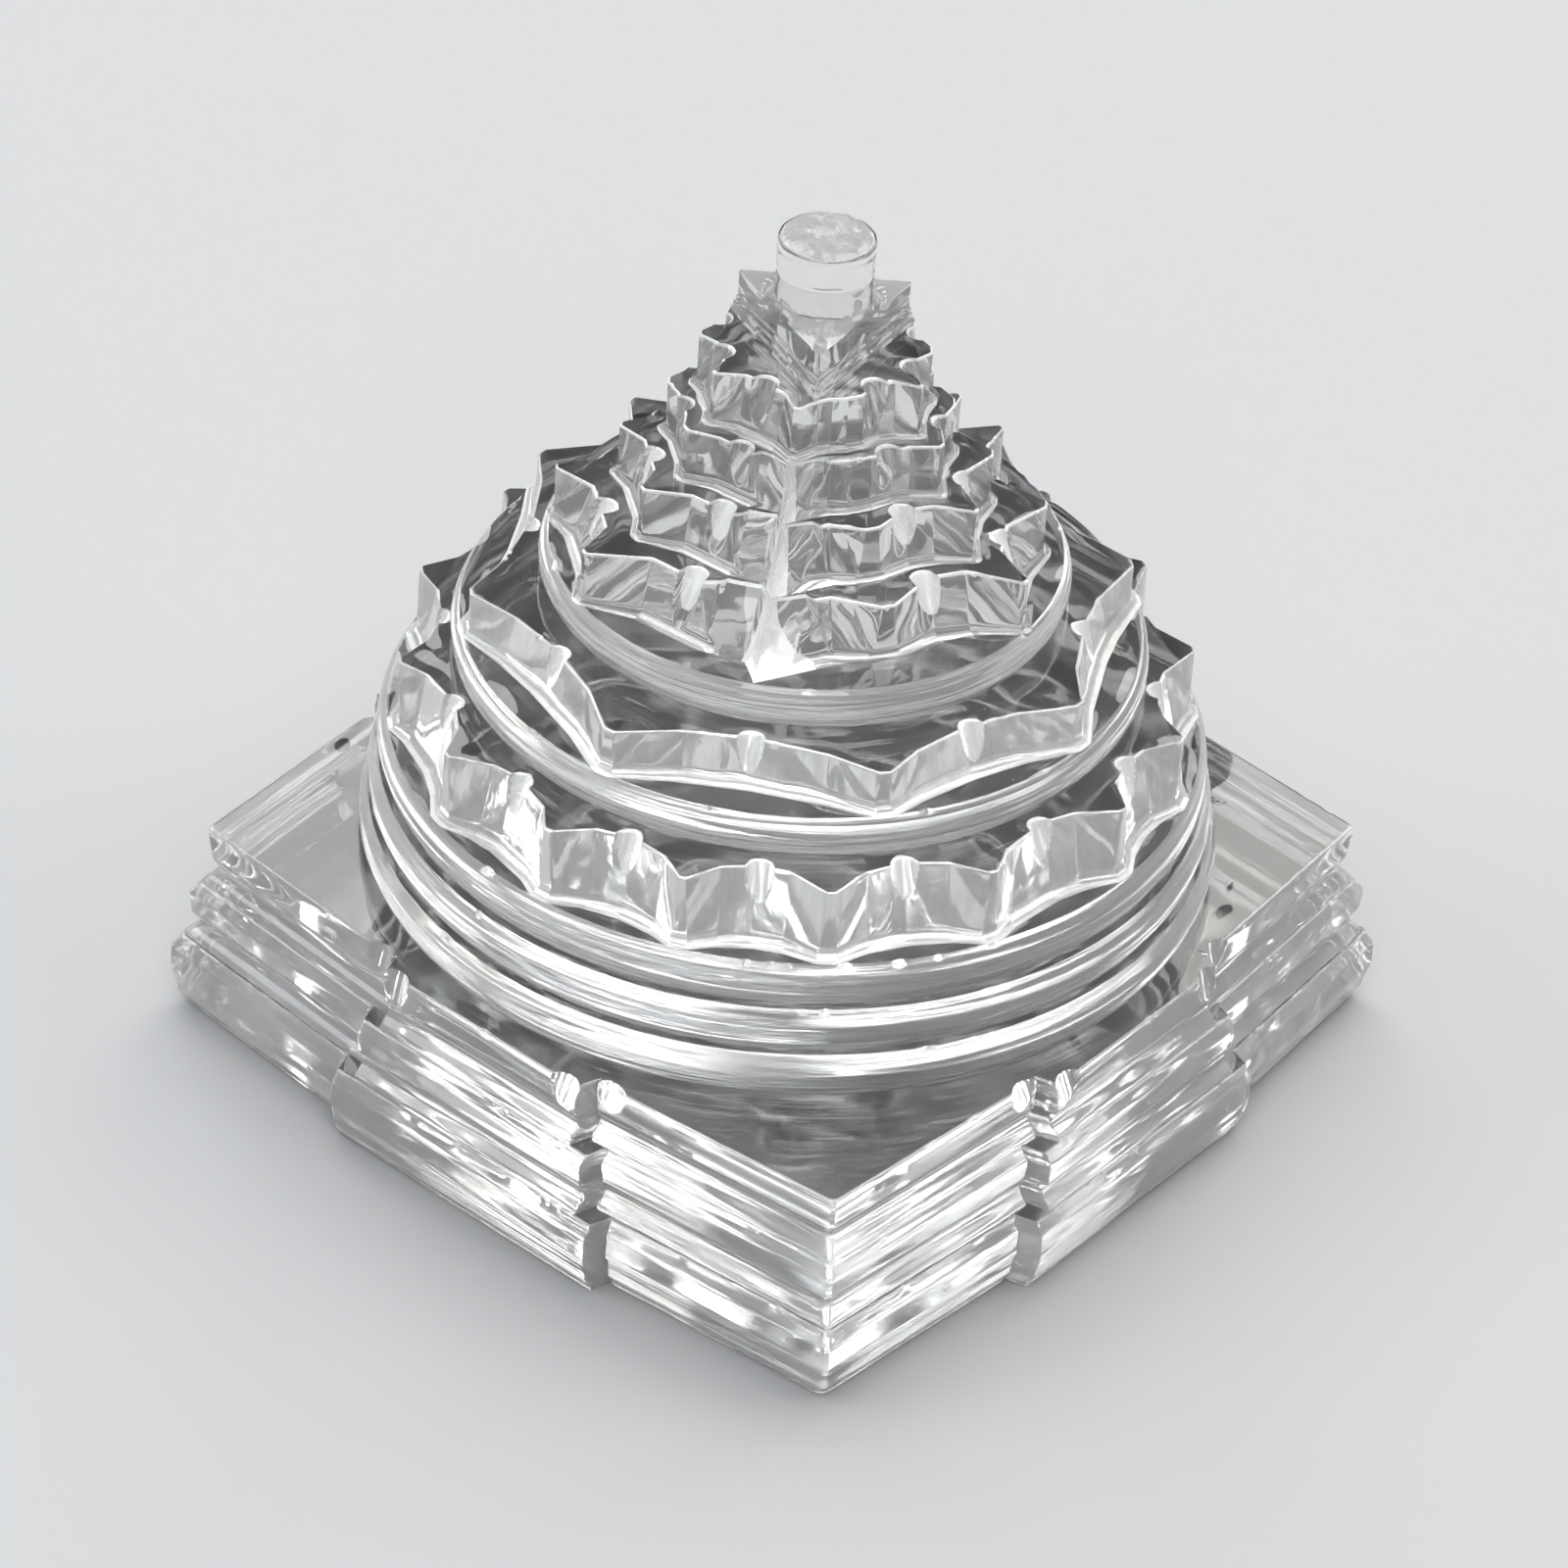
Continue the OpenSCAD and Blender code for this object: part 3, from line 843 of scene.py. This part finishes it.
# The camera that the photograph was taken with: a long lens, seen from the front corner
CAMERA_LENS = 135.0
CAMERA_AZIMUTH = math.radians(38.28)
CAMERA_ELEVATION = math.radians(36.61)
CAMERA_ROLL = math.radians(3.99)
CAMERA_DISTANCE = 301.1
CAMERA_AIM_HEIGHT = 13.99
CAMERA_AIM_ASIDE = -0.27


def make_camera():
    """Camera at the photograph's viewing angle."""
    a, e, roll = CAMERA_AZIMUTH, CAMERA_ELEVATION, CAMERA_ROLL
    back = Vector((math.sin(a) * math.cos(e), -math.cos(a) * math.cos(e), math.sin(e)))
    right = Vector((math.cos(a), math.sin(a), 0))
    up = back.cross(right)
    aim = Vector((0, 0, CAMERA_AIM_HEIGHT)) + right * CAMERA_AIM_ASIDE
    x_axis = right * math.cos(roll) + up * math.sin(roll)
    y_axis = up * math.cos(roll) - right * math.sin(roll)
    data = bpy.data.cameras.new("camera")
    data.sensor_width = 36.0
    data.lens = CAMERA_LENS
    data.clip_start = 0.01
    data.clip_end = 20.0
    camera = bpy.data.objects.new("camera", data)
    turn = Matrix((x_axis, y_axis, back)).transposed()
    camera.matrix_world = Matrix.Translation((aim + back * CAMERA_DISTANCE) * MM) @ turn.to_4x4()
    bpy.context.scene.collection.objects.link(camera)
    bpy.context.scene.camera = camera


# The floor in metres: half of its width, and how far it lies below the underside
FLOOR_HALF = 3.0
FLOOR_DROP = 0.00003
FLOOR_COLOUR = (0.3, 0.304, 0.31, 1)
FLOOR_ROUGHNESS = 0.7


def make_floor():
    """Plain pale floor."""
    mesh = bpy.data.meshes.new("floor")
    corners = [(x * FLOOR_HALF, y * FLOOR_HALF, -FLOOR_DROP) for x, y in ((-1, -1), (1, -1), (1, 1), (-1, 1))]
    mesh.from_pydata(corners, [], [(0, 1, 2, 3)])
    material = bpy.data.materials.new("floor")
    material.use_nodes = True
    shader = material.node_tree.nodes["Principled BSDF"]
    shader.inputs["Base Color"].default_value = FLOOR_COLOUR
    shader.inputs["Roughness"].default_value = FLOOR_ROUGHNESS
    mesh.materials.append(material)
    floor = bpy.data.objects.new("floor", mesh)
    bpy.context.scene.collection.objects.link(floor)


# Soft lights as (name, direction round the object, height of the direction, distance, size, power, colour),
# in degrees, metres and watts
SOFT_LIGHTS = [
    ("window_back_left", 155, 38, 1.2, (0.72, 0.5), 4.8, (0.97, 0.985, 1.0)),
    ("window_back_right", 101, 38, 1.2, (0.72, 0.5), 4.8, (1.0, 0.985, 0.95)),
    ("window_left", 222, 38, 1.1, (0.7, 0.5), 4.6, (0.94, 0.97, 1.0)),
    ("window_right", 42, 38, 1.1, (0.7, 0.5), 4.6, (1.0, 0.975, 0.94)),
    ("front_fill", -52, 50, 1.2, (0.8, 0.8), 10.0, (0.97, 0.985, 1.0)),
    ("back_top", 128, 64, 1.1, (1.0, 0.4), 5.0, (1, 1, 1)),
    ("through", 100, 84, 1.02, (0.7, 0.7), 2.8, (1, 1, 1)),
    ("ceiling", 0, 89, 3.0, (4.0, 4.0), 60.0, (1, 1, 1)),
]
# The light that stands for what the crystal lets through to the floor casts no shadow
SHADOWLESS = "through"
# Height that the lights face, in metres
LIGHT_AIM_HEIGHT = 0.015
# Dim surroundings behind the lights
ROOM_COLOUR = (0.01, 0.01, 0.011, 1)


def area_light(name, place, size, power, colour):
    """Soft rectangular light that faces the object."""
    data = bpy.data.lights.new(name, "AREA")
    data.shape = "RECTANGLE"
    data.size, data.size_y = size
    data.energy = power
    data.color = colour
    data.use_shadow = name != SHADOWLESS
    light = bpy.data.objects.new(name, data)
    light.location = place
    toward = Vector((0, 0, LIGHT_AIM_HEIGHT)) - Vector(place)
    light.rotation_euler = toward.to_track_quat("-Z", "Y").to_euler()
    bpy.context.scene.collection.objects.link(light)


def make_lights():
    """Soft studio light: windows all round with dark gaps between them."""
    world = bpy.data.worlds.new("room")
    world.use_nodes = True
    world.node_tree.nodes["Background"].inputs["Color"].default_value = ROOM_COLOUR
    bpy.context.scene.world = world
    for name, around, height, distance, size, power, colour in SOFT_LIGHTS:
        a, e = math.radians(around), math.radians(height)
        way = Vector((math.cos(a) * math.cos(e), math.sin(a) * math.cos(e), math.sin(e)))
        area_light(name, way * distance, size, power, colour)
    view = bpy.context.scene.view_settings
    view.view_transform = "Standard"
    view.exposure = 0.0


def let_light_through():
    """Light crosses many faces in cut crystal."""
    cycles = bpy.context.scene.cycles
    cycles.max_bounces = 32
    cycles.transmission_bounces = 32
    cycles.glossy_bounces = 12
    cycles.transparent_max_bounces = 64
    cycles.caustics_refractive = False
    cycles.caustics_reflective = False


make_camera()
make_floor()
make_lights()
let_light_through()
build()
